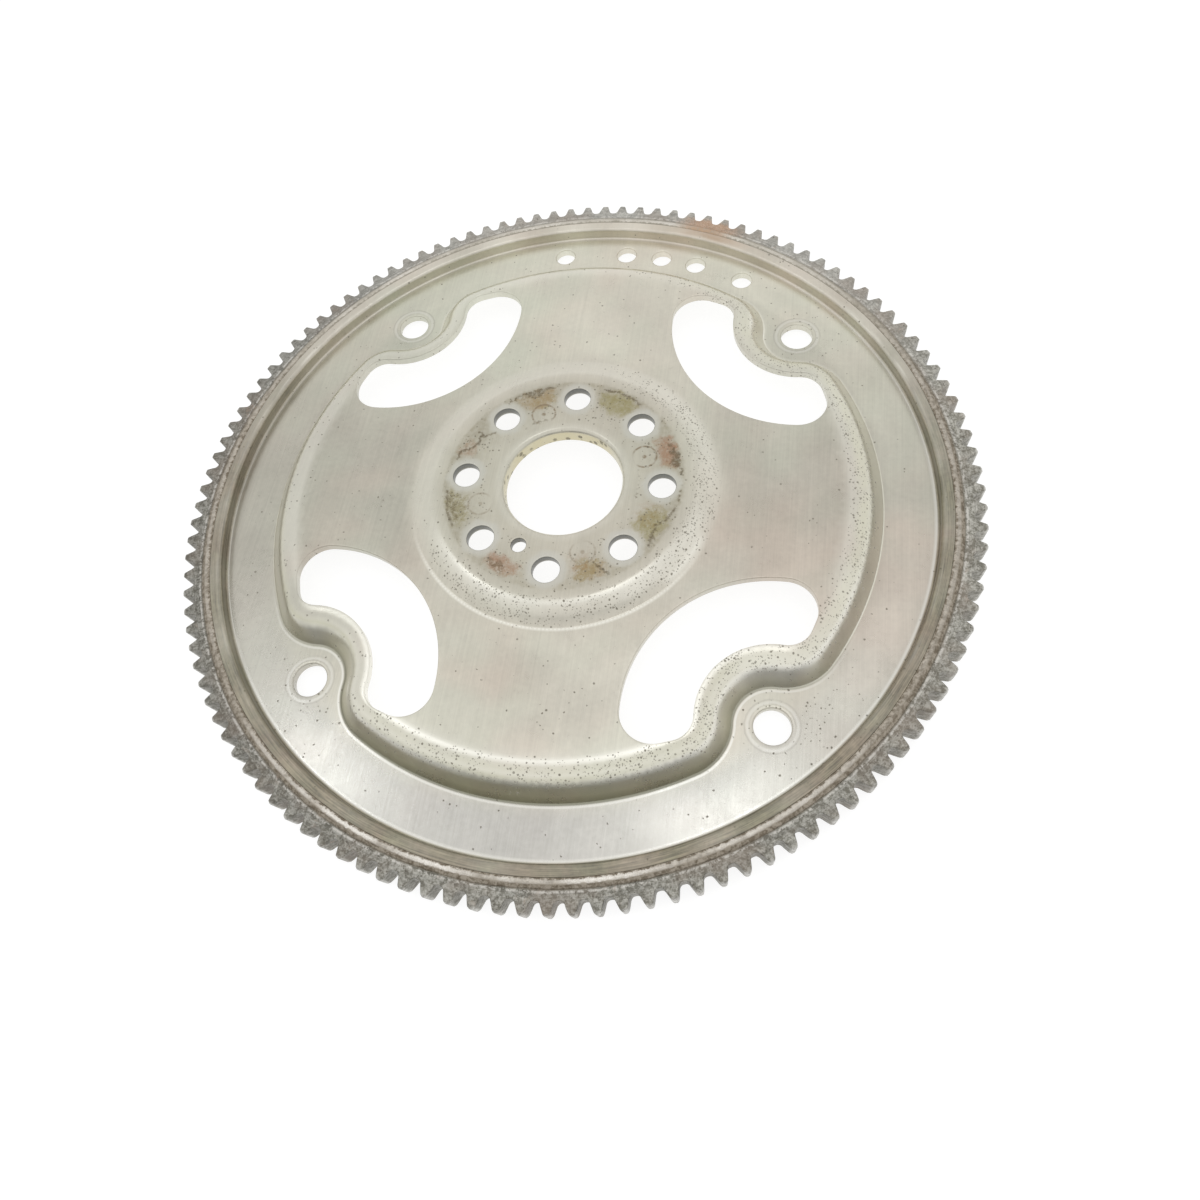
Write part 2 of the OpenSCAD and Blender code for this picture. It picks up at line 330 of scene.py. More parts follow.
    for st, half, lo, hi in ((1.05, 48.5, 26.7, 47.6), (2.3, 137, 60.6, 136.0)):
        q = hexgrid(st, half)
        r = np.hypot(q[:, 0], q[:, 1])
        q = q[(r > lo) & (r < hi)]
        q = q[~in_hole(q)]
        q = q[[tree.find((a, b, 0))[2] > 0.62 * st for a, b in q]]
        put(q)
    P = np.vstack(pts)
    out = delaunay_2d_cdt([Vector((a, b)) for a, b in P], edges, [], 0, 1e-4)
    V = np.array([(v.x, v.y) for v in out[0]])
    F = np.array([f for f in out[2] if len(f) == 3])
    where = {}
    for i, o in enumerate(out[3]):
        for q in o:
            where[q] = i
    cen = V[F].mean(1)
    F = F[~in_hole(cen) & (np.hypot(cen[:, 0], cen[:, 1]) < RIM_IN)]
    n = len(V)
    top, low = height(V[:, 0], V[:, 1], 0.0), height(V[:, 0], V[:, 1], SHEET)
    verts = [np.c_[V, top], np.c_[V, low]]
    faces = [tuple(f) for f in F] + [(f[0] + n, f[2] + n, f[1] + n) for f in F]
    total = 2 * n
    for L in loops:
        idx = np.array([where[L["start"] + i] for i in range(L["n"])])
        rings = []
        if isinstance(L["rings"], tuple):
            ang = np.arctan2(L["normal"][:, 1], L["normal"][:, 0])
            for r, z in L["rings"][1]:
                up = step01(z, 1.5, 4.5) * (1 if r > RIM_IN + 1 else 0)
                free = 1.0 if r < SEAT - 0.6 else 0.15
                rr = r + 0.05 * free * up * wave(ang, 11, 9, 60)
                zz = z + free * up * (0.05 * wave(ang, 12, 5, 30) + 0.04 * wave(ang, 13, 40, 160))
                rings.append(np.c_[L["normal"] * rr[:, None], zz])
        else:
            for o, s, h in L["rings"]:
                rings.append(np.c_[L["xy"] + L["normal"] * o, (low if s else top)[idx] + h])
        chain = [idx]
        for R in rings:
            verts.append(R)
            chain.append(np.arange(total, total + len(R)))
            total += len(R)
        chain.append(idx + n)
        for a, b in zip(chain[:-1], chain[1:]):
            faces += [(a[i], a[(i + 1) % L["n"]], b[(i + 1) % L["n"]], b[i]) for i in range(L["n"])]
    verts = np.vstack(verts)
    used = np.zeros(len(verts), bool)
    for f in faces:
        used[list(f)] = True
    new = np.cumsum(used) - 1
    faces = [tuple(new[list(f)]) for f in faces]
    verts = verts[used]
    world = verts.copy()
    world[:, 2] += ANN
    return mesh_object("flexplate_plate", world * 0.001, faces), verts


plate, pv = build_plate()


# ---------------------------------------------------------------- stains and marks, and painted light and shade along the bends and by side, painted as masks on the plate's points
def polar_patch(x, y, r0, dr, a0, da, seed, rough=1.0):
    """A soft patch about radius r0 and angle a0 (degrees), with an uneven edge."""
    xx = x + rough * field(x, y, seed, 3, 9)
    yy = y + rough * field(x, y, seed + 50, 3, 9)
    r = np.hypot(xx, yy)
    a = (np.degrees(np.arctan2(yy, xx)) - a0 + 180) % 360 - 180
    return step01(1.35 - np.sqrt((np.abs(r - r0) / dr) ** 2.4 + (np.abs(a) / da) ** 2.4), 0, 0.95)


def line_mark(x, y, pts, w):
    """A thin mark along a line of points."""
    best = np.full(len(x), 1e9)
    for (x0, y0), (x1, y1) in zip(pts[:-1], pts[1:]):
        L2 = (x1 - x0) ** 2 + (y1 - y0) ** 2
        t = np.clip(((x - x0) * (x1 - x0) + (y - y0) * (y1 - y0)) / L2, 0, 1)
        best = np.minimum(best, np.hypot(x - x0 - t * (x1 - x0), y - y0 - t * (y1 - y0)))
    return 1 - step01(best, w * 0.4, w)


def paint_plate():
    x, y, z = pv.T
    r, deg = np.hypot(x, y), np.degrees(np.arctan2(y, x))
    hub = (1 - step01(r, 45.2, 46.4)) * step01(r, 27.5, 30) * (z > HUB_Z - 0.7)
    ochre = np.maximum.reduce([
        0.9 * polar_patch(x, y, 39.5, 4.8, 112, 11, 1), 0.55 * polar_patch(x, y, 42.5, 2.6, 121, 6, 2),
        0.75 * polar_patch(x, y, 40, 4.4, -66, 10, 3), 0.5 * polar_patch(x, y, 41, 4, 20, 11, 4),
        0.35 * polar_patch(x, y, 41, 3.5, -113, 12, 6)])
    olive = np.maximum.reduce([
        1.0 * polar_patch(x, y, 39.5, 5.8, 65, 12, 7, 0.8), 0.95 * polar_patch(x, y, 38.5, 6.2, -24, 10.5, 8),
        0.7 * polar_patch(x, y, 39.5, 4.6, -68, 7, 9), 0.4 * polar_patch(x, y, 38, 5, 110, 8, 10),
        0.6 * polar_patch(x, y, 41, 4.5, -160, 13, 22)])
    red = np.maximum.reduce([
        1.0 * polar_patch(x, y, 41, 4.4, 22, 10.5, 12), 0.9 * polar_patch(x, y, 40.5, 3.8, -115, 11, 13),
        0.45 * polar_patch(x, y, 41, 4, 163, 8, 14), 0.3 * polar_patch(x, y, 36, 6, -70, 9, 15),
        0.25 * polar_patch(x, y, 36, 6, -20, 12, 16)])
    dark = np.maximum.reduce([
        0.8 * polar_patch(x, y, 43.2, 2.2, 17, 8, 17), 0.42 * polar_patch(x, y, 42.6, 2.6, -160, 10, 18),
        0.6 * polar_patch(x, y, 42.8, 1.8, 114, 8, 19), 0.5 * polar_patch(x, y, 41.8, 2.0, -118, 8, 20),
        0.25 * polar_patch(x, y, 40, 4.6, -160, 13, 21)])
    lines = np.zeros(len(x))

    def pol(*rd):
        return [(a * math.cos(math.radians(b)), a * math.sin(math.radians(b))) for a, b in rd]
    for pts, w in ((pol((43.6, 76), (44.3, 68), (44.4, 60), (43.8, 55)), 0.75), (pol((43.8, 128), (44.4, 120), (44.4, 112), (43.9, 103)), 0.7),
                   (pol((44.6, -12), (43.6, -18), (41, -24), (41.5, -30), (44, -36)), 0.7), (pol((42, -30), (45, -33)), 0.6),
                   (pol((36, 146), (38, 152), (41.5, 151)), 0.7), (pol((40, 153), (38.5, 158), (40.5, 163), (43.5, 166), (43, 171)), 0.75),
                   (pol((44.6, -8), (44.8, 2), (44.6, 10)), 0.6), (pol((44.5, -150), (44.7, -160), (44.4, -172)), 0.6),
                   (pol((38, -63), (44.2, -58)), 0.6), (pol((28.8, 12), (28.6, 0), (29.1, -12)), 0.5),
                   (pol((29, 105), (29.5, 122), (28.2, 138)), 0.55), (pol((28.3, -165), (28.5, -150), (28.2, -138)), 0.4),
                   (pol((28.2, -95), (28.3, -80), (28.2, -66)), 0.4)):
        lines = np.maximum(lines, line_mark(x, y, pts, w))
    clean = np.zeros(len(x))
    for k in range(8):
        a = k * PI / 4
        d = np.hypot(x - BOLT_R * math.cos(a), y - BOLT_R * math.sin(a))
        d = d + 0.35 * field(x, y, 30 + k, 4, 12)
        clean = np.maximum(clean, 1 - step01(d, 6.4, 8.5))
    keep = hub * (1 - clean)
    stain = np.c_[ochre * keep, olive * keep, red * keep, np.maximum(dark, 0.75 * lines) * keep]
    # where the ring marks between the bolts show, and how strongly
    rings = np.zeros(len(x))
    for a0, k in ((22.5, 1.0), (112.5, 1.0), (-67.5, 0.55), (-157.5, 0.45)):
        c = (32.0 * math.cos(math.radians(a0)), 32.0 * math.sin(math.radians(a0)))
        rings = np.maximum(rings, k * (1 - step01(np.hypot(x - c[0], y - c[1]), 5.6, 7.5)))
    # speckle: where pin-prick spots gather
    s = inward(x, y)
    shoulder = step01(s, 3.2, 6) * (1 - step01(s, 11.5, 15))
    right = np.maximum(step01(np.cos(np.radians(deg + 20)), -0.1, 0.7), 0.75 * step01(np.cos(np.radians(deg - 45)), 0.75, 0.95))
    right = np.maximum(right, 0.85 * step01(np.cos(np.radians(deg + 86)), 0.72, 0.93))
    dish = step01(r, 46.5, 49.5) * (1 - step01(r, 56.5, 60))
    spots = np.maximum.reduce([
        1.0 * shoulder * (0.14 + 0.86 * right),
        1.0 * dish * np.maximum(step01(np.cos(np.radians(deg - 8)), 0.1, 0.8), 0.9 * step01(np.cos(np.radians(deg + 75)), 0.0, 0.8)),
        0.34 * np.exp(-((x - 92) ** 2 + (y + 78) ** 2) / 22 ** 2) * (s < 1),
        0.26 * np.exp(-((x + 80) ** 2 + (y + 93) ** 2) / 20 ** 2) * (s < 1),
        0.24 * np.exp(-((x - 88) ** 2 + (y - 84) ** 2) / 20 ** 2) * (s < 1),
        0.8 * keep * polar_patch(x, y, 42, 3.5, -160, 12, 40), 0.42 * keep,
        0.045 + 0 * x])
    collar = ((r < PILOT + 1.2) & (z < HUB_Z - 1.6)).astype(float)
    lips = (1 - step01(np.abs(r - 24.0), 0.6, 2.4)) * (z > HUB_Z - 3)
    imprint = np.zeros(len(x))
    for k in range(4):
        a = PI / 4 + k * PI / 2
        d = np.hypot(x - LUG * math.cos(a), y - LUG * math.sin(a))
        imprint = np.maximum(imprint, 1 - step01(np.abs(d - 8.4), 0.5, 1.5))
    # tone of the sheet: level (which also takes painted light and shade by side, further down), warm and green drifts,
    # and the dull film on the hub
    th = np.radians(deg)
    out = step01(r, 56, 64)
    level = 1 + out * (-0.075 - 0.115 * np.cos(2 * th) + 0.02 * np.cos(th) + 0.03 * field(x, y, 71, 25, 80))

    def sector(a0, da, lo, hi):
        a = (deg - a0 + 180) % 360 - 180
        return np.exp(-(a / da) ** 2) * step01(r, lo - 6, lo + 6) * (1 - step01(r, hi - 6, hi + 6))
    warm = np.clip(sector(346, 17, 58, 140) + 0.65 * sector(207, 13, 58, 100) + 0.5 * sector(255, 16, 58, 88) + 0.5 * sector(78, 9, 108, 138)
                   + 0.25 * field(x, y, 72, 18, 60) * out, 0, 1)
    green = np.clip(0.9 * sector(128, 26, 58, 138) + 0.3 * sector(30, 25, 60, 138) + 0.25 * field(x, y, 73, 18, 60) * out, 0, 1)
    film = hub * (1 - 0.7 * clean) * (0.22 + 0.34 * step01(r, 28, 44)) * (1 - 0.25 * step01(np.cos(th - math.radians(265)), 0.55, 1.0))
    film = np.maximum(film, 0.20 * (1 - step01(r, 46, 50)) * step01(r, 24.5, 27) * (1 - clean))
    # rim: how much of the flange's darker colour shows, more on the near side (painted shade) and little on the far
    # side (painted light), with a warm tint on the far side's bend; painted cool sheen on the near annulus; painted
    # shade in the bores
    near, far = step01(np.cos(th - math.radians(283)), -0.2, 0.85), step01(np.cos(th - math.radians(95)), 0.0, 0.75)
    top = step01(z, FLANGE - 1.3, FLANGE - 0.3)
    rim = step01(r, RIM_IN + 0.1, RIM_IN + 0.9) * np.where(top > 0, (1 - top) * 0.62 + top * 0.52, 0.62)
    rim = rim * (1 - far * (0.81 - 0.03 * top)) * (1 + near * 0.45 * top) + 0.08 * wave(th, 74, 6, 40) * (r > RIM_IN + 0.3)
    warm = np.clip(warm + 0.75 * far * step01(r, RIM_IN - 0.4, RIM_IN + 0.6), 0, 1)
    cool = sector(270, 56, 119, 150) * (1 - step01(r, 136, 136.6))
    # painted shade inside the bolt and dowel bores
    bore_shade = np.zeros(len(x))
    for k in range(8):
        a = k * PI / 4
        d = np.hypot(x - BOLT_R * math.cos(a), y - BOLT_R * math.sin(a))
        bore_shade = np.maximum(bore_shade, 1 - step01(d, BOLT_HOLE + 0.02, BOLT_HOLE + 0.2))
    a = math.radians(247.5)
    bore_shade = np.maximum(bore_shade, 1 - step01(np.hypot(x - DOWEL_R * math.cos(a), y - DOWEL_R * math.sin(a)), DOWEL_HOLE + 0.02, DOWEL_HOLE + 0.2))
    rust = np.exp(-(((deg - 73) / 7.0) ** 2)) * step01(r, 137.2, 139.5)

    def bump(v, c, w):
        return 1 - step01(np.abs(v - c), 0, w)

    def facing(a0, lo, hi):
        return step01(np.cos(th - math.radians(a0)), lo, hi)
    # painted highlights along the bends, mostly on the near side: dish, shoulder of the step, side walls, far flange
    # wall, flange top's inner edge at the sides
    nr = facing(270, 0.3, 0.85)
    lit = nr * (0.62 * bump(r, 50.4, 1.7) + 0.9 * bump(r, 59.2, 0.7) + 0.18 * bump(r, 53, 3)) * (r < 62) * (r > 46)
    lit = lit + (1 - nr) * (0.13 + 0.12 * facing(90, 0.2, 0.8)) * step01(r, 49.3, 51.3) * (1 - step01(r, 57.5, 60)) * (z > WEB - 0.2)
    wallside = np.maximum(0.95 * facing(-2, -0.1, 0.75), 0.95 * facing(186, 0.1, 0.8))
    lit = lit + nr * (0.68 * bump(s, 12.6, 1.4) + (0.5 + 0.35 * np.maximum(facing(244, 0.93, 0.99), facing(318, 0.75, 0.97))) * bump(s, 5.6, 2.6) + 0.2 * bump(s, 3.0, 2.0) + 0.5 * bump(s, 8.6, 1.1) + 0.25 * step01(s, 6.8, 8.5) * (1 - step01(s, 13, 16))) * (r > 70)
    lit = lit + (1 - 0.75 * nr) * wallside * step01(s, 0.1, 0.8) * (1 - step01(s, 4.4, 7.6)) * (r > 80)
    lit = lit + 0.28 * facing(90, 0.2, 0.7) * step01(s, -1, 1) * (1 - step01(s, 10, 15)) * (r > 70)
    lit = lit + far * step01(r, RIM_IN + 0.2, RIM_IN + 0.9) * (0.14 * (1 - top) + 0.26 * top)
    sides = np.maximum(facing(190, 0.5, 0.85), 0.8 * facing(5, 0.6, 0.9))
    lit = lit + 0.42 * sides * bump(r, 138.7, 0.75) * top * (0.6 + 0.4 * wave(th, 75, 8, 60))
    lit = lit + 0.30 * np.maximum(facing(6, 0.85, 0.97), facing(181, 0.85, 0.97)) * step01(s, 5, 7) * (1 - step01(s, 13, 16)) * (r > 80)
    lit = lit + 0.16 * facing(240, 0.8, 0.95) * bump(r, 52, 2.6) + 0.30 * facing(324, 0.85, 0.97) * bump(r, 53, 4.5)
    # painted shade in the crease at the step foot, near side
    crease_shade = 0.8 * nr * step01(s, -0.1, 0.2) * (1 - step01(s, 0.7, 1.3)) * (r > 70)
    wall = step01(s, 0.1, 0.7) * (1 - step01(s, 5.5, 9.5)) * (r > 70)
    wall = np.maximum(wall, 0.7 * right * step01(s, 0.1, 0.7) * (1 - step01(s, 8.5, 12.5)) * (r > 70))
    # painted shade at the dish foot on the near side
    dish_foot_shade = facing(287, 0.85, 0.97) * bump(r, 55.6, 2.4)
    # painted light and shade on the annulus and web: darker on the near side, lighter on the far side, with lighter and
    # darker patches at listed angles
    level = level + step01(r, 118.9, 121) * (1 - step01(r, 136, 136.5)) * (-0.06 * nr + far * (0.05 + 0.16 * step01(r, 128, 135)) + 0.04 * facing(20, 0.6, 0.95))
    level = level - 0.07 * sector(266, 22, 70, 97) + 0.15 * sector(334, 15, 121, 136) * (1 - step01(r, 136, 136.5)) + 0.07 * sector(48, 30, 119, 126)
    level = level - 0.14 * (sector(240, 10, 117, 127) + sector(302, 10, 117, 127)) * (s < 0)
    level = level + 0.05 * sector(105, 34, 62, 130) + 0.06 * sector(322, 22, 60, 112) + 0.05 * (sector(45, 16, 60, 70) + sector(135, 16, 60, 70))
    lit = lit + 0.16 * facing(32, 0.82, 0.96) * bump(r, 55, 4.0) + 0.55 * facing(330, 0.97, 0.995) * bump(r, 57, 2.6)
    lit = lit + 0.32 * facing(331, 0.95, 0.99) * step01(s, 2, 5) * (1 - step01(s, 10, 13)) * (r > 80)
    # painted highlights, olive tint on the step wall, painted shade at the dish foot and in the step foot's crease
    add_attr(plate, "painted_light_shade_tint", np.c_[np.clip(lit, 0, 1), wall, dish_foot_shade, crease_shade])
    add_attr(plate, "extra", np.c_[cool, bore_shade, rust, np.clip(rim, 0, 1)])
    add_attr(plate, "tone_light_and_shade", np.c_[level, warm, green, np.clip(film, 0, 1)])
    add_attr(plate, "stain", stain)
    add_attr(plate, "marks", np.c_[spots, rings * hub, clean * hub, collar])
    # last channel: painted highlight lines at the step foot on the near side and at the annulus's outer edge
    add_attr(plate, "shade", np.c_[step01(r, RIM_IN - 0.1, RIM_IN + 0.9), lips, imprint * (s < 0.5),
                                    np.maximum(step01(s, -1.05, -0.7) * (1 - step01(s, -0.35, 0.0)) * nr, step01(r, 135.3, 136.1) * (1 - step01(r, 136.4, 136.8)))])


paint_plate()


# ---------------------------------------------------------------- ring gear
def build_gear():
    g = np.random.default_rng(41)
    base = PITCH * math.cos(PA)

    def inv(r):
        a = math.acos(min(1, base / r))
        return math.tan(a) - a

    def half(r):
        return PI / 2 / TEETH - BACKLASH / 2 / PITCH + inv(PITCH) - inv(r)
    p = 2 * PI / TEETH

    def bez(a, c, b, n):
        t = np.linspace(0, 1, n)[:, None]
        return (1 - t) ** 2 * np.array(a) + 2 * t * (1 - t) * np.array(c) + t ** 2 * np.array(b)
    r1, r2 = ROOT + 1.25, TIP - 1.0
    side = np.vstack([bez((ROOT, p * 0.46), (ROOT, half(ROOT) * 1.02), (r1, half(r1)), 6),
                      [(r, half(r)) for r in np.linspace(r1, r2, 4)[1:-1]],
                      bez((r2, half(r2)), (TIP, half(TIP) * 1.0), (TIP + 0.02, half(TIP) * 0.25), 6)])
    R, A, K = [], [], []
    for k in range(TEETH):
        c = PHASE + k * p
        wear = abs(g.normal(0, 0.10))
        lean = g.normal(0, 0.0004)
        fat = 1 + g.normal(0, 0.02)
        top = step01(side[:, 0], ROOT + 1.5, TIP)
        rr = side[:, 0] - wear * top
        aa = side[:, 1] * np.where(side[:, 0] > ROOT + 0.6, fat, 1)
        R += list(rr) + [TIP - wear + 0.03] + list(rr[::-1])
        A += list(c - aa + lean * top) + [c + lean] + list((c + aa + lean * top)[::-1])
        K += [k] * (2 * len(side) + 1)
    R, A = np.array(R), np.array(A)
    R = R + g.normal(0, 0.018, len(R))
    n = len(R)
    P = np.c_[R * np.cos(A), R * np.sin(A)]
    t = np.roll(P, -1, 0) - np.roll(P, 1, 0)
    t /= np.hypot(*t.T)[:, None]
    nrm = np.c_[t[:, 1], -t[:, 0]]
    layers = [(9.2, 0.34, 1.05), (9.14, 0.16, 0.88), (8.96, 0.04, 0.62), (8.45, 0.0, 0.16), (7.95, 0.0, 0.0), (4.6, -0.02, -0.02),
              (1.25, 0.0, 0.0), (0.75, 0.0, 0.14), (0.22, 0.05, 0.62), (0.05, 0.18, 0.86), (0.0, 0.36, 1.05)]
    verts, faces, tag, total = [], [], [], 0
    chain = []
    # inside rings of the upper face, from the seat outwards
    inner = [(SEAT, 0.0), (SEAT, 4.0), (SEAT, 8.4), (142.4, 9.0), (144.3, 9.0), (144.9, 9.04), (145.3, 9.15), (145.75, 9.25), (146.4, 9.2), (147.35, 9.2)]
    u = np.c_[np.cos(A), np.sin(A)]
    ang = A
    for r, z in inner:
        lift = (0.05 * wave(ang, 61, 12, 70) + 0.03 * wave(ang, 62, 80, 300)) if z > 8.8 else 0 * ang
        jig = 0.04 * wave(ang, 63, 8, 90) if 144 < r < 145.9 else 0 * ang
        verts.append(np.c_[u * (r + jig)[:, None], z + lift])
        chain.append(total)
        total += n
    for z, ins, cut in layers:
        q = P - nrm * ins
        rad = np.hypot(*q.T)
        cap = TIP - cut
        rad2 = cap - np.log1p(np.exp((cap - rad) * 7)) / 7 if cut > 0.3 else np.minimum(rad, cap + 0.05)
        rad2 = np.minimum(rad, np.where(rad < cap - 1.0, rad, rad2 + (0.1 if cut > 0.3 else 0)))
        q = q * (rad2 / rad)[:, None]
        rough = 0.03 * wave(ang, 64 + int(z * 3), 200, 900, 30) if 0.3 < z < 9 else 0 * ang
        verts.append(np.c_[q + nrm * rough[:, None], np.full(n, z) + (0.04 * wave(ang, 61, 12, 70) if z > 9 else 0)])
        chain.append(total)
        total += n
    for r in (147.2, 144.5):
        verts.append(np.c_[u * r, np.zeros(n)])
        chain.append(total)
        total += n
    chain.append(chain[0])
    for a, b in zip(chain[:-1], chain[1:]):
        faces.append(ring_faces(a, b, n))
    verts = np.vstack(verts)
    ob = mesh_object("flexplate_gear", verts * 0.001, np.vstack(faces))
    return ob


gear = build_gear()


# ---------------------------------------------------------------- weld bead
def build_weld():
    n = 2160
    a = 2 * PI * np.arange(n) / n
    g = np.random.default_rng(77)
    nick = np.zeros(n)
    for i in range(190):
        c = g.uniform(0, 2 * PI)
        # more nicks on the lower left
        if math.cos(c - math.radians(228)) < g.uniform(-1.2, 1.0):
            continue
        w = g.uniform(0.0012, 0.0045)
        d = (a - c + PI) % (2 * PI) - PI
        nick = np.maximum(nick, g.uniform(0.25, 1.0) * np.exp(-(d / w) ** 2))
    ripple = 0.5 * wave(a, 81, 150, 260) + 0.5 * wave(a, 82, 20, 60)
    side = 0.08 * wave(a, 83, 6, 40) + 0.05 * wave(a, 84, 60, 200)
    prof = [(141.67, 8.6, 0, 0), (141.67, 9.95, 0, 0.0), (141.9, 10.02, 0.2, 0.3), (142.2, 10.13, 0.5, 0.8), (142.55, 10.25, 0.8, 1), (143.0, 10.30, 1, 1),
            (143.45, 10.23, 1, 0.95), (143.85, 10.04, 1, 0.7), (144.2, 9.78, 1, 0.45), (144.6, 9.5, 1, 0.25), (145.0, 9.3, 1, 0.1), (145.15, 8.95, 1, 0)]
    verts, chain = [], []
    for j, (r, z, k, h) in enumerate(prof):
        rr = r + side * k
        zz = z + h * (0.05 * ripple - 0.34 * nick) + h * 0.025 * wave(a, 90 + j, 200, 420, 24)
        verts.append(np.c_[rr * np.cos(a), rr * np.sin(a), zz])
        chain.append(j * n)
    faces = [ring_faces(p, q, n) for p, q in zip(chain, chain[1:] + chain[:1])]
    return mesh_object("flexplate_weld", np.vstack(verts) * 0.001, np.vstack(faces))


weld = build_weld()

for ob, node, sl in ((plate, "drive_plate", "plate_steel"), (gear, "ring_gear", "gear_steel"), (weld, "rim_weld", "weld_metal")):
    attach(ob, "root")
    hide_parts(node)


# ---------------------------------------------------------------- materials
class Net:
    def __init__(self, name):
        self.mat = bpy.data.materials.new(name)
        self.mat.use_nodes = True
        self.t = self.mat.node_tree
        self.t.nodes.clear()
        self.out = self.t.nodes.new("ShaderNodeOutputMaterial")

    def node(self, kind, **kw):
        nd = self.t.nodes.new(kind)
        for k, v in kw.items():
            setattr(nd, k, v)
        return nd

    def put(self, sock, v):
        if isinstance(v, bpy.types.NodeSocket):
            self.t.links.new(v, sock)
        elif v is not None:
            sock.default_value = v

    def math(self, op, a, b=None, c=None, clamp=False):
        nd = self.node("ShaderNodeMath", operation=op, use_clamp=clamp)
        for s, v in zip(nd.inputs, (a, b, c)):
            self.put(s, v)
        return nd.outputs[0]

    def vmath(self, op, a, b=None, scale=None):
        nd = self.node("ShaderNodeVectorMath", operation=op)
        self.put(nd.inputs[0], a)
        if b is not None:
            self.put(nd.inputs[1], b)
        if scale is not None:
            self.put(nd.inputs["Scale"], scale)
        return nd.outputs["Value"] if op in ("LENGTH", "DISTANCE", "DOT_PRODUCT") else nd.outputs[0]

    def ramp(self, v, lo, hi, a=0.0, b=1.0, smooth=True):
        nd = self.node("ShaderNodeMapRange", interpolation_type="SMOOTHSTEP" if smooth else "LINEAR", clamp=True)
        for s, q in zip(nd.inputs, (v, lo, hi, a, b)):
            self.put(s, q)
        return nd.outputs[0]

    def mix(self, f, a, b, blend="MIX"):
        nd = self.node("ShaderNodeMix", data_type="RGBA", blend_type=blend, clamp_factor=True)
        self.put(nd.inputs[0], f)
        self.put(nd.inputs[6], (*a, 1) if isinstance(a, tuple) else a)
        self.put(nd.inputs[7], (*b, 1) if isinstance(b, tuple) else b)
        return nd.outputs[2]

    def noise(self, vec, scale, detail=3.0, rough=0.55, dist=0.0):
        nd = self.node("ShaderNodeTexNoise", noise_dimensions="3D")
        self.put(nd.inputs["Vector"], vec)
        nd.inputs["Scale"].default_value = scale
        nd.inputs["Detail"].default_value = detail
        nd.inputs["Roughness"].default_value = rough
        nd.inputs["Distortion"].default_value = dist
        return nd.outputs[0]

    def cells(self, vec, scale):
        nd = self.node("ShaderNodeTexVoronoi", feature="F1", voronoi_dimensions="3D")
        self.put(nd.inputs["Vector"], vec)
        nd.inputs["Scale"].default_value = scale
        sep = self.node("ShaderNodeSeparateColor")
        self.put(sep.inputs[0], nd.outputs["Color"])
        return nd.outputs["Distance"], sep.outputs[0], sep.outputs[1]

    def mm(self):
        tc = self.node("ShaderNodeTexCoord")
        return self.vmath("SCALE", tc.outputs["Object"], scale=1000.0)

    def xyz(self, v):
        nd = self.node("ShaderNodeSeparateXYZ")
        self.put(nd.inputs[0], v)
        return nd.outputs

    def mapped(self, v, rot, scale):
        nd = self.node("ShaderNodeMapping")
        self.put(nd.inputs["Vector"], v)
        nd.inputs["Rotation"].default_value = (0, 0, rot)
        nd.inputs["Scale"].default_value = scale
        return nd.outputs[0]

    def polar(self, v):
        """Radius drawn out fine and the way round drawn out long, for lathe marks."""
        x, y, z = self.xyz(v)
        r = self.math("SQRT", self.math("ADD", self.math("MULTIPLY", x, x), self.math("MULTIPLY", y, y)))
        c = self.node("ShaderNodeCombineXYZ")
        self.put(c.inputs[0], self.math("MULTIPLY", r, 2.2))
        self.put(c.inputs[1], self.math("MULTIPLY", self.math("ARCTAN2", y, x), 9.0))
        self.put(c.inputs[2], self.math("MULTIPLY", z, 2.2))
        return c.outputs[0]

    def attr(self, name):
        nd = self.node("ShaderNodeAttribute", attribute_name=name)
        sep = self.node("ShaderNodeSeparateColor")
        self.put(sep.inputs[0], nd.outputs["Color"])
        return sep.outputs[0], sep.outputs[1], sep.outputs[2], nd.outputs["Alpha"]

    def bump(self, h, dist, strength, normal=None):
        nd = self.node("ShaderNodeBump")
        nd.inputs["Strength"].default_value = strength
        nd.inputs["Distance"].default_value = dist
        self.put(nd.inputs["Height"], h)
        if normal is not None:
            self.put(nd.inputs["Normal"], normal)
        return nd.outputs[0]

    def done(self, color, rough, metal, normal, spec=0.5):
        b = self.node("ShaderNodeBsdfPrincipled")
        self.put(b.inputs["Base Color"], color)
        self.put(b.inputs["Roughness"], rough)
        self.put(b.inputs["Metallic"], metal)
        b.inputs["Specular IOR Level"].default_value = spec
        self.put(b.inputs["Normal"], normal)
        self.t.links.new(b.outputs[0], self.out.inputs[0])
        return self.mat


def scaled(N, col, f):
    """col times the number f."""
    g = N.node("ShaderNodeCombineColor")
    for i in range(3):
        N.put(g.inputs[i], f)
    return N.mix(1.0, col, g.outputs[0], "MULTIPLY")


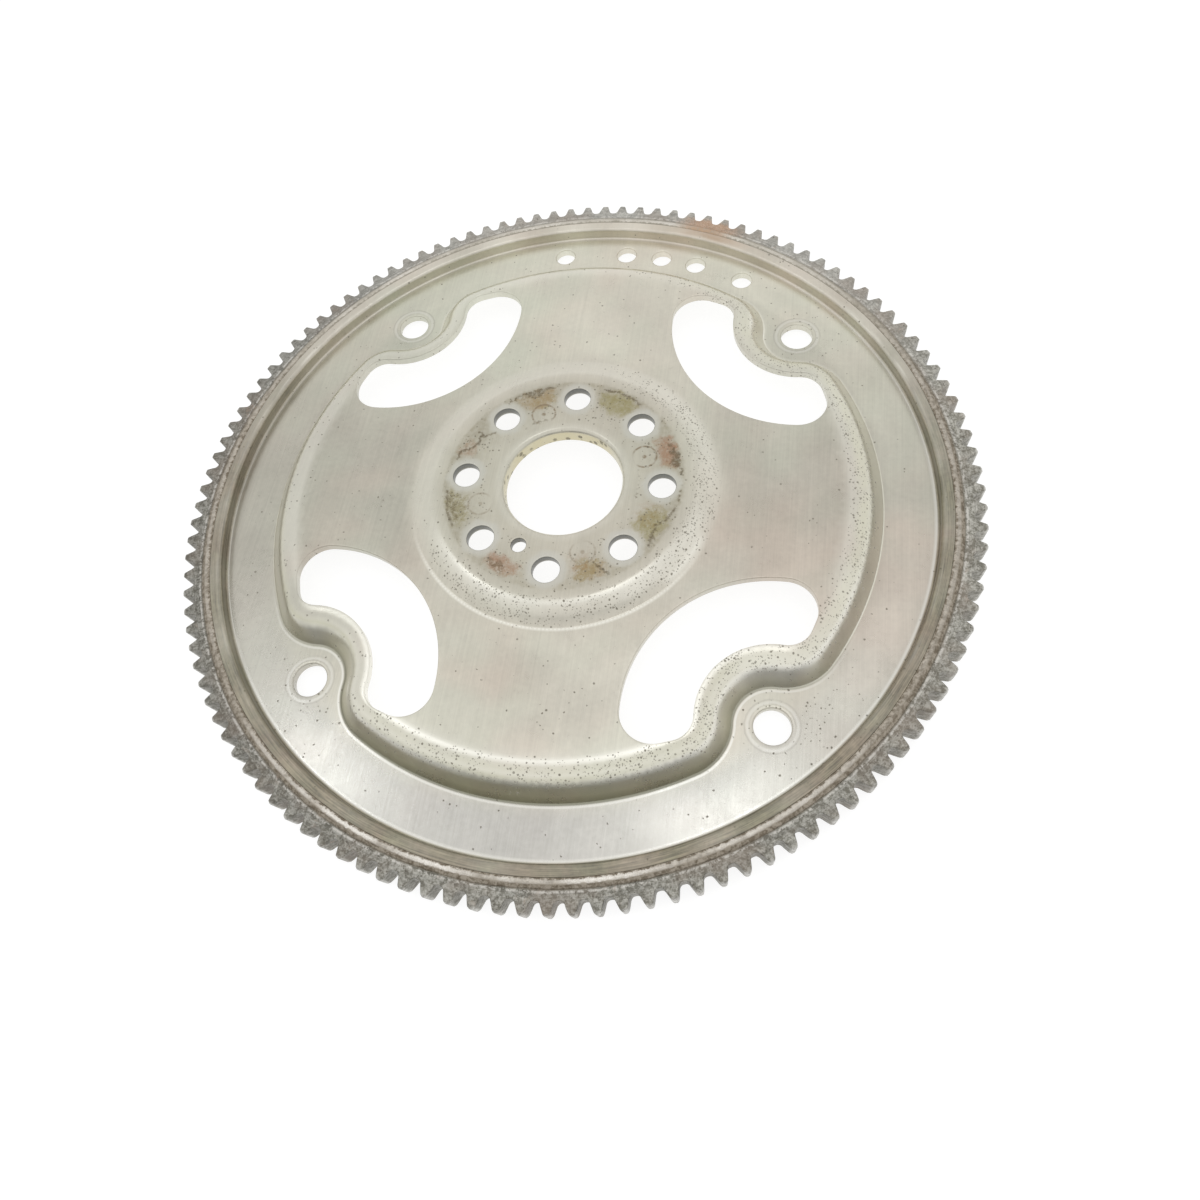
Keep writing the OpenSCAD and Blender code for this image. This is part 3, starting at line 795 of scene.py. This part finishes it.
def plate_material():
    N = Net("plate_steel_look")
    mm = N.mm()
    sx, sy, sz = N.xyz(mm)
    oc, ol, rd, dk = N.attr("stain")
    spots, rings, clean, collar = N.attr("marks")
    flange, lips, imprint, foot_and_edge_highlight = N.attr("shade")
    # rolled grain, running one way across the sheet
    g1 = N.noise(N.mapped(mm, -0.09, (0.9, 0.014, 0.2)), 1.0, 4, 0.6)
    g2 = N.noise(N.mapped(mm, -0.09, (3.2, 0.03, 0.5)), 1.0, 3, 0.6)
    b1 = N.noise(mm, 0.016, 2, 0.5)
    b2 = N.noise(mm, 0.075, 4, 0.6, 0.6)
    b3 = N.noise(mm, 0.55, 4, 0.62)
    fine = N.noise(mm, 3.2, 3, 0.6)
    # level: the sheet's tone together with painted light and shade by side
    level, warm, green, film = N.attr("tone_light_and_shade")
    col = N.mix(N.ramp(b1, 0.38, 0.62), (0.606, 0.592, 0.508), (0.616, 0.586, 0.508))
    col = N.mix(warm, col, (0.640, 0.570, 0.490))
    col = N.mix(green, col, (0.598, 0.604, 0.510))
    col = N.mix(N.math("MULTIPLY", film, N.ramp(b3, 0.3, 0.7, 0.60, 1.15)), col, (0.300, 0.268, 0.185))
    cool, bore_shade, rust, rim = N.attr("extra")
    # painted cool sheen on the near annulus
    col = N.mix(N.math("MULTIPLY", cool, 0.8), col, (0.600, 0.588, 0.562))
    f = N.math("ADD", N.ramp(b2, 0.25, 0.75, 0.945, 1.045, False), N.ramp(g1, 0.3, 0.7, -0.03, 0.03, False))
    f = N.math("MULTIPLY", f, level)
    f = N.math("ADD", f, N.ramp(g2, 0.3, 0.7, -0.035, 0.035, False))
    f = N.math("ADD", f, N.ramp(b3, 0.3, 0.7, -0.035, 0.03, False))
    col = scaled(N, col, f)
    # painted highlights, olive tint on the step wall, painted shade at the dish foot and in the step foot's crease
    lit, wall, dish_foot_shade, crease_shade = N.attr("painted_light_shade_tint")
    col = N.mix(N.math("MULTIPLY", wall, N.ramp(b2, 0.35, 0.60, 0.60, 0.95)), col, (0.600, 0.594, 0.435))
    # painted shade at the dish foot
    col = N.mix(N.math("MULTIPLY", dish_foot_shade, 0.30), col, (0.36, 0.355, 0.31))
    col = N.mix(lit, col, (0.930, 0.915, 0.835))
    # painted shade in the step foot's crease
    col = N.mix(N.math("MULTIPLY", crease_shade, 0.8), col, (0.17, 0.17, 0.13))
    # rim flange: darker, olive to brown, with turned marks; the rim mask shows more of it on the near side as painted
    # shade and little on the far side as painted light
    fn = N.noise(mm, 0.045, 4, 0.6, 0.8)
    turn = N.noise(N.polar(mm), 1.0, 4, 0.6)
    fcol = N.mix(N.ramp(fn, 0.35, 0.65), (0.188, 0.176, 0.118), (0.218, 0.174, 0.128))
    fcol = scaled(N, fcol, N.math("ADD", N.ramp(b3, 0.25, 0.75, 0.75, 1.25, False), N.ramp(turn, 0.32, 0.68, -0.6, 0.6, False)))
    col = N.mix(rim, col, fcol)
    col = N.mix(N.math("MULTIPLY", rust, N.ramp(fn, 0.3, 0.6, 0.3, 0.75)), col, (0.46, 0.315, 0.205))
    # collar wall: yellowed
    col = N.mix(N.math("MULTIPLY", collar, N.ramp(b2, 0.3, 0.6, 0.35, 0.8)), col, (0.60, 0.545, 0.36))
    # clean bolt head marks and imprints
    col = N.mix(N.math("MULTIPLY", clean, 0.34), col, (0.560, 0.575, 0.550))
    ld = N.math("SQRT", N.math("ADD", N.math("POWER", N.math("SUBTRACT", N.math("ABSOLUTE", sx), LUG * math.sqrt(0.5)), 2.0),
                               N.math("POWER", N.math("SUBTRACT", N.math("ABSOLUTE", sy), LUG * math.sqrt(0.5)), 2.0)))
    ld = N.math("ADD", ld, N.math("MULTIPLY", N.math("SUBTRACT", b3, 0.5), 0.5))
    ring = N.math("MULTIPLY", N.ramp(N.math("ABSOLUTE", N.math("SUBTRACT", ld, 9.3)), 0.45, 0.1), N.ramp(b2, 0.35, 0.6, 0.25, 0.9))
    ring = N.math("MAXIMUM", ring, N.math("MULTIPLY", N.ramp(N.math("ABSOLUTE", N.math("SUBTRACT", ld, 7.6)), 0.35, 0.1), N.ramp(b2, 0.6, 0.4, 0.1, 0.7)))
    col = N.mix(N.math("MULTIPLY", ring, 0.42), col, (0.36, 0.345, 0.31))
    col = N.mix(N.math("MULTIPLY", N.math("MULTIPLY", N.ramp(ld, 9.2, 8.4), N.ramp(ld, 7.6, 8.2)), 0.35), col, (0.74, 0.73, 0.69))
    # painted highlight lines at the step foot on the near side and at the annulus's outer edge
    col = N.mix(N.math("MULTIPLY", foot_and_edge_highlight, 0.65), col, (0.80, 0.79, 0.74))
    # painted shade in the bolt and dowel bores
    col = N.mix(N.math("MULTIPLY", bore_shade, 0.8), col, (0.085, 0.088, 0.088))
    # stains
    edge = N.math("SUBTRACT", N.noise(mm, 0.55, 3, 0.65, 0.7), 0.5)
    edge2 = N.math("SUBTRACT", N.noise(mm, 1.6, 2, 0.6), 0.5)

    def mask(a, lo=0.05, hi=1.25, k=1.5):
        v = N.math("ADD", a, N.math("MULTIPLY", N.math("ADD", edge, N.math("MULTIPLY", edge2, 0.6)), k))
        return N.math("MULTIPLY", N.ramp(v, lo, hi, smooth=False), N.ramp(a, 0.02, 0.45))
    m_oc, m_ol, m_rd, m_dk = mask(oc), mask(ol), mask(rd), mask(dk, 0.15, 0.8)
    col = N.mix(N.math("MULTIPLY", m_ol, 0.84), col, (0.310, 0.272, 0.112))
    col = N.mix(N.math("MULTIPLY", m_oc, 0.84), col, (0.350, 0.250, 0.125))
    col = N.mix(N.math("MULTIPLY", m_rd, 0.74), col, (0.360, 0.195, 0.118))
    col = N.mix(N.math("MULTIPLY", m_dk, 0.76), col, (0.135, 0.105, 0.058))
    c0, s0 = math.cos(math.radians(22.5)), math.sin(math.radians(22.5))
    u = N.math("ABSOLUTE", N.math("ADD", N.math("MULTIPLY", sx, c0), N.math("MULTIPLY", sy, s0)))
    v = N.math("ABSOLUTE", N.math("SUBTRACT", N.math("MULTIPLY", sy, c0), N.math("MULTIPLY", sx, s0)))
    rd2 = N.math("SQRT", N.math("ADD", N.math("POWER", N.math("SUBTRACT", N.math("MAXIMUM", u, v), 32.0), 2.0), N.math("POWER", N.math("MINIMUM", u, v), 2.0)))
    rd2 = N.math("ADD", rd2, N.math("MULTIPLY", N.math("SUBTRACT", b3, 0.5), 0.4))
    mark = N.math("MAXIMUM", N.ramp(N.math("ABSOLUTE", N.math("SUBTRACT", rd2, 4.6)), 0.60, 0.1), N.ramp(rd2, 1.1, 0.5))
    mark = N.math("MULTIPLY", N.math("MULTIPLY", mark, rings), N.ramp(b3, 0.34, 0.58, 0.25, 0.8))
    col = N.mix(mark, col, (0.235, 0.178, 0.115))
    # pin-prick spots
    warp = N.node("ShaderNodeTexNoise", noise_dimensions="3D")
    N.put(warp.inputs["Vector"], mm)
    warp.inputs["Scale"].default_value = 1.3
    bent = N.vmath("ADD", mm, N.vmath("SCALE", warp.outputs["Color"], scale=0.55))
    d1, r1, q1 = N.cells(bent, 0.82)
    d2, r2, q2 = N.cells(bent, 1.25)
    patchy = N.math("MULTIPLY", spots, N.ramp(N.noise(mm, 0.16, 3, 0.6), 0.34, 0.60, 0.40, 1.1))
    s1 = N.math("MULTIPLY", N.math("LESS_THAN", r1, N.math("MULTIPLY", patchy, 0.92)), N.ramp(d1, N.math("MULTIPLY_ADD", q1, 0.26, 0.19), N.math("MULTIPLY_ADD", q1, 0.15, 0.08)))
    s2 = N.math("MULTIPLY", N.math("LESS_THAN", r2, N.math("MULTIPLY", N.math("MULTIPLY", patchy, patchy), 0.95)),
                N.ramp(d2, N.math("MULTIPLY_ADD", q2, 0.20, 0.23), N.math("MULTIPLY_ADD", q2, 0.12, 0.08)))
    # a little larger spots on the collar
    d3, r3, q3 = N.cells(bent, 0.42)
    s3 = N.math("MULTIPLY", N.math("MULTIPLY", collar, N.math("LESS_THAN", r3, 0.45)), N.ramp(d3, 0.50, 0.26))
    sp = N.math("MAXIMUM", N.math("MAXIMUM", s1, N.math("MULTIPLY", s2, 0.85)), s3, clamp=True)
    col = N.mix(N.math("MULTIPLY", sp, N.math("MULTIPLY_ADD", q2, 0.30, 0.55)), col, (0.115, 0.098, 0.064))
    dirt = N.math("MAXIMUM", N.math("MAXIMUM", m_oc, m_ol), N.math("MAXIMUM", m_rd, m_dk))
    rough = N.math("ADD", N.ramp(b2, 0.3, 0.7, 0.27, 0.33, False), N.ramp(b3, 0.3, 0.7, -0.012, 0.022, False))
    rough = N.math("ADD", rough, N.math("MULTIPLY", film, 0.12))
    rough = N.math("ADD", rough, N.math("MULTIPLY", N.math("MAXIMUM", dirt, sp), 0.20))
    rough = N.math("ADD", rough, N.math("MULTIPLY", rim, 0.12))
    rough = N.math("SUBTRACT", rough, N.math("MULTIPLY", cool, 0.07))
    metal = N.math("SUBTRACT", 1.0, N.math("MULTIPLY", N.math("MAXIMUM", N.math("MULTIPLY", dirt, 0.55), N.math("MULTIPLY", sp, 0.8)), 1.0), clamp=True)
    h = N.math("ADD", N.math("MULTIPLY", g2, 0.35), N.math("MULTIPLY", fine, 0.25))
    h = N.math("ADD", h, N.math("MULTIPLY", b3, 0.26))
    nrm = N.bump(h, 0.00006, 0.35)
    return N.done(col, rough, metal, nrm)


def gear_material():
    N = Net("gear_steel_look")
    mm = N.mm()
    x, y, z = N.xyz(mm)
    r = N.math("SQRT", N.math("ADD", N.math("MULTIPLY", x, x), N.math("MULTIPLY", y, y)))
    ang = N.math("ARCTAN2", y, x)
    geo = N.node("ShaderNodeNewGeometry")
    nz = N.math("ABSOLUTE", N.xyz(geo.outputs["True Normal"])[2])
    n1 = N.noise(mm, 0.60, 4, 0.68, 0.4)
    n2 = N.noise(mm, 1.9, 4, 0.65)
    n3 = N.noise(mm, 0.05, 3, 0.55)
    n4 = N.noise(mm, 4.5, 2, 0.6)
    mott = N.math("ADD", N.math("MULTIPLY", n1, 0.62), N.math("MULTIPLY", n2, 0.38))
    col = N.mix(N.ramp(mott, 0.40, 0.61), (0.215, 0.206, 0.174), (0.510, 0.500, 0.455))
    # painted light: the gear lighter towards the far side
    away = N.ramp(N.math("COSINE", N.math("SUBTRACT", ang, math.radians(95))), 0.1, 0.85)
    col = N.mix(N.math("MULTIPLY", away, 0.42), col, (0.56, 0.555, 0.53))
    turn = N.noise(N.polar(mm), 1.0, 4, 0.6)
    col = scaled(N, col, N.ramp(turn, 0.3, 0.7, 0.78, 1.22, False))
    col = N.mix(N.ramp(n3, 0.42, 0.66, 0.0, 0.42), col, (0.330, 0.265, 0.215))
    # darker towards the left and towards the near side
    left_and_near_darkening = N.ramp(N.math("COSINE", N.math("SUBTRACT", ang, math.radians(187))), 0.2, 0.95, 1.0, 0.70)
    left_and_near_darkening = N.math("MULTIPLY", left_and_near_darkening, N.ramp(N.math("COSINE", N.math("SUBTRACT", ang, math.radians(285))), 0.3, 0.95, 1.0, 0.87))
    col = scaled(N, col, left_and_near_darkening)
    # painted shade on the steep tooth flanks, tips rubbed bright
    flank_shade = N.math("MULTIPLY", N.ramp(nz, 0.75, 0.25), N.ramp(r, 152.4, 151.6))
    col = N.mix(N.math("MULTIPLY", flank_shade, 0.20), col, (0.20, 0.19, 0.165))
    tip = N.math("MULTIPLY", N.ramp(r, 151.9, 153.0), N.ramp(n1, 0.35, 0.6, 0.35, 1.0))
    col = N.mix(N.math("MULTIPLY", tip, 0.75), col, (0.64, 0.63, 0.60))
    # inner shelf beside the weld: brown and speckled
    shelf = N.math("MULTIPLY", N.math("MULTIPLY", N.ramp(r, 145.6, 145.2), N.ramp(nz, 0.4, 0.8)), N.math("MULTIPLY_ADD", away, -0.6, 1.0))
    col = N.mix(N.math("MULTIPLY", shelf, N.ramp(n1, 0.3, 0.65, 0.2, 0.75)), col, (0.190, 0.158, 0.115))
    # painted highlight line along the gear's inner edge
    brow_highlight = N.math("MULTIPLY", N.math("MULTIPLY", N.ramp(r, 145.5, 145.8), N.ramp(r, 146.6, 146.1)), N.ramp(n1, 0.4, 0.58))
    col = N.mix(N.math("MULTIPLY", brow_highlight, 0.6), col, (0.70, 0.675, 0.63))
    # pits
    d, c1, c2 = N.cells(mm, 0.95)
    pit = N.math("MULTIPLY", N.math("LESS_THAN", c1, 0.30), N.ramp(d, N.math("MULTIPLY_ADD", c2, 0.30, 0.12), N.math("MULTIPLY_ADD", c2, 0.12, 0.04)))
    col = N.mix(N.math("MULTIPLY", pit, 0.75), col, (0.075, 0.062, 0.045))
    # rust patch
    da = N.math("ABSOLUTE", N.math("SUBTRACT", ang, math.radians(73.0)))
    rust = N.math("MULTIPLY", N.ramp(da, 0.15, 0.02), N.ramp(r, 151.6, 148.0, 0.25, 1.0))
    rust = N.ramp(N.math("ADD", rust, N.math("MULTIPLY", N.math("SUBTRACT", n1, 0.5), 1.3)), 0.1, 1.1)
    rust = N.math("MULTIPLY", rust, N.ramp(da, 0.20, 0.09))
    thin = N.math("MULTIPLY", N.ramp(N.noise(mm, 0.09, 4, 0.65, 1.0), 0.60, 0.72), N.ramp(n1, 0.42, 0.62))
    rusty = N.mix(N.ramp(n2, 0.35, 0.65), (0.450, 0.260, 0.155), (0.600, 0.420, 0.285))
    col = N.mix(N.math("MULTIPLY", rust, 0.78), col, rusty)
    col = N.mix(N.math("MULTIPLY", thin, 0.40), col, (0.270, 0.160, 0.095))
    rough = N.math("ADD", N.ramp(mott, 0.3, 0.7, 0.56, 0.44, False), N.math("MULTIPLY", rust, 0.25))
    rough = N.math("SUBTRACT", rough, N.math("MULTIPLY", tip, 0.08))
    metal = N.math("SUBTRACT", 0.95, N.math("MULTIPLY", N.math("MAXIMUM", rust, pit), 0.75), clamp=True)
    h = N.math("ADD", N.math("MULTIPLY", n1, 1.0), N.math("MULTIPLY", n2, 0.5))
    h = N.math("ADD", h, N.math("MULTIPLY", n4, 0.15))
    nrm = N.bump(h, 0.00035, 0.6)
    return N.done(col, rough, metal, nrm)


def weld_material():
    N = Net("weld_metal_look")
    mm = N.mm()
    x, y, z = N.xyz(mm)
    n1 = N.noise(mm, 0.6, 4, 0.68, 0.4)
    n2 = N.noise(mm, 0.06, 3, 0.55)
    n3 = N.noise(mm, 2.2, 4, 0.65)
    zz = N.math("ADD", z, N.math("MULTIPLY", N.math("SUBTRACT", n1, 0.5), 0.55))
    ang = N.math("ARCTAN2", y, x)
    # bright crest, with painted highlight by side: strongest on the near side, less on the far side, faint elsewhere
    crest_sheen = N.ramp(N.math("COSINE", N.math("SUBTRACT", ang, math.radians(274))), 0.62, 0.93, 0.30, 1.0)
    crest_sheen = N.math("MAXIMUM", crest_sheen, N.ramp(N.math("COSINE", N.math("SUBTRACT", ang, math.radians(100))), 0.3, 0.9, 0.0, 0.75))
    rr = N.math("SQRT", N.math("ADD", N.math("MULTIPLY", x, x), N.math("MULTIPLY", y, y)))
    rr = N.math("ADD", rr, N.math("MULTIPLY", N.math("SUBTRACT", n1, 0.5), 2.2))
    bead = N.math("MULTIPLY", N.ramp(rr, 142.05, 142.45), N.ramp(rr, 143.95, 143.35))
    crest = N.math("MULTIPLY", N.math("MULTIPLY", N.ramp(zz, 9.75, 10.05), bead), crest_sheen)
    low = N.mix(N.ramp(n1, 0.38, 0.62), (0.190, 0.158, 0.115), (0.420, 0.375, 0.310))
    # painted light: the low parts lighter towards the far side
    away = N.ramp(N.math("COSINE", N.math("SUBTRACT", ang, math.radians(95))), 0.2, 0.8)
    low = N.mix(N.math("MULTIPLY", away, 0.6), low, (0.50, 0.475, 0.405))
    high = N.mix(N.ramp(n3, 0.3, 0.7), (0.66, 0.62, 0.56), (0.84, 0.81, 0.755))
    col = N.mix(N.math("MULTIPLY", crest, N.ramp(n2, 0.36, 0.60, 0.30, 1.0)), low, high)
    da = N.math("ABSOLUTE", N.math("SUBTRACT", ang, math.radians(73.5)))
    col = N.mix(N.math("MULTIPLY", N.ramp(da, 0.11, 0.03), N.ramp(n1, 0.3, 0.6, 0.3, 0.8)), col, (0.50, 0.325, 0.205))
    rough = N.ramp(crest, 0.0, 1.0, 0.55, 0.30)
    metal = N.ramp(crest, 0.0, 1.0, 0.7, 1.0)
    h = N.math("ADD", N.math("MULTIPLY", n1, 0.8), N.math("MULTIPLY", n3, 0.35))
    return N.done(col, rough, metal, N.bump(h, 0.00025, 0.5))


plate.data.materials.append(plate_material())
gear.data.materials.append(gear_material())
weld.data.materials.append(weld_material())
for ob in (plate, gear, weld):
    m = ob.modifiers.new("even_normals", "WEIGHTED_NORMAL")
    m.keep_sharp = True
    m.weight = 60

# ---------------------------------------------------------------- floor
me = bpy.data.meshes.new("floor")
me.from_pydata([(-6, -6, -0.0001), (6, -6, -0.0001), (6, 6, -0.0001), (-6, 6, -0.0001)], [], [(0, 1, 2, 3)])
floor = bpy.data.objects.new("floor", me)
scene.collection.objects.link(floor)
fm = bpy.data.materials.new("floor_white")
fm.use_nodes = True
t = fm.node_tree
t.nodes.clear()
o = t.nodes.new("ShaderNodeOutputMaterial")
di = t.nodes.new("ShaderNodeBsdfDiffuse")
di.inputs[0].default_value = (0.25, 0.25, 0.25, 1)
em = t.nodes.new("ShaderNodeEmission")
em.inputs[0].default_value = (1, 1, 1, 1)
em.inputs[1].default_value = 0.84
ad = t.nodes.new("ShaderNodeAddShader")
t.links.new(di.outputs[0], ad.inputs[0])
t.links.new(em.outputs[0], ad.inputs[1])
t.links.new(ad.outputs[0], o.inputs[0])
me.materials.append(fm)

# ---------------------------------------------------------------- soft studio light
w = bpy.data.worlds.new("studio")
scene.world = w
w.use_nodes = True
t = w.node_tree
t.nodes.clear()
o = t.nodes.new("ShaderNodeOutputWorld")
bg = t.nodes.new("ShaderNodeBackground")
tc = t.nodes.new("ShaderNodeTexCoord")


def world_ramp(src, lo, hi, a, b):
    mr = t.nodes.new("ShaderNodeMapRange")
    mr.interpolation_type = "SMOOTHSTEP"
    for i, v in ((1, lo), (2, hi), (3, a), (4, b)):
        mr.inputs[i].default_value = v
    t.links.new(src, mr.inputs[0])
    return mr.outputs[0]


def world_math(op, a, b):
    m = t.nodes.new("ShaderNodeMath")
    m.operation = op
    for s, v in zip(m.inputs, (a, b)):
        if isinstance(v, bpy.types.NodeSocket):
            t.links.new(v, s)
        else:
            s.default_value = v
    return m.outputs[0]


# one even bright dome, with a dim stretch low on the near side
sep = t.nodes.new("ShaderNodeSeparateXYZ")
t.links.new(tc.outputs["Generated"], sep.inputs[0])
flat = world_math("SQRT", world_math("ADD", world_math("MULTIPLY", sep.outputs[0], sep.outputs[0]), world_math("MULTIPLY", sep.outputs[1], sep.outputs[1])), 0)
toward = world_math("DIVIDE", world_math("MULTIPLY", sep.outputs[1], -1.0), world_math("MAXIMUM", flat, 0.001))
dim = world_math("MULTIPLY", world_ramp(toward, 0.35, 0.98, 0.0, 1.0), world_ramp(sep.outputs[2], 0.10, 0.52, 1.0, 0.0))
low = world_math("MULTIPLY", world_ramp(sep.outputs[2], 0.05, 0.45, 0.10, 0.0), world_ramp(toward, -0.6, 0.4, 0.0, 1.0))
level = world_math("SUBTRACT", world_math("SUBTRACT", 0.94, world_math("MULTIPLY", dim, 0.70)), low)
t.links.new(world_math("MAXIMUM", level, 0.1), bg.inputs["Strength"])
bg.inputs["Color"].default_value = (1.0, 0.995, 0.985, 1)
t.links.new(bg.outputs[0], o.inputs[0])


def softbox(name, loc, aim, size, power, colour=(1, 1, 1)):
    L = bpy.data.lights.new(name, "AREA")
    L.shape = "DISK"
    L.size = size
    L.energy = power
    L.color = colour
    ob = bpy.data.objects.new(name, L)
    ob.location = loc
    ob.rotation_euler = (Vector(aim) - Vector(loc)).to_track_quat("-Z", "Y").to_euler()
    scene.collection.objects.link(ob)


# two lamps whose reflections lie on the annulus at the lower left and lower right
softbox("lamp_left", (-0.0735 - 0.454 * 1.6, -0.113 + 0.169 * 1.6, 0.876 * 1.6), (-0.0735, -0.113, 0), 0.17, 0.37, (0.93, 0.96, 1.0))
softbox("lamp_right", (0.0715, -0.1145 + 0.186 * 1.6, 0.98 * 1.6), (0.0715, -0.1145, 0), 0.17, 0.46, (0.93, 0.96, 1.0))

# ---------------------------------------------------------------- camera
cam = bpy.data.cameras.new("camera")
cam.sensor_fit = "HORIZONTAL"
cam.sensor_width = 36.0
cam.lens = 25.6064
cam.clip_start = 0.01
cam.dof.use_dof = False
co = bpy.data.objects.new("camera", cam)
M = Matrix(((0.98235, -0.07763, 0.17019), (0.14128, 0.90423, -0.40300), (-0.12261, 0.41993, 0.89924)))
co.matrix_world = Matrix.Translation((0.07178, -0.16744, 0.28461)) @ M.to_4x4()
scene.collection.objects.link(co)
scene.camera = co
scene.view_settings.view_transform = "Standard"
scene.view_settings.look = "None"
scene.view_settings.exposure = 0.0
scene.view_settings.gamma = 1.0

bpy.context.view_layer.update()
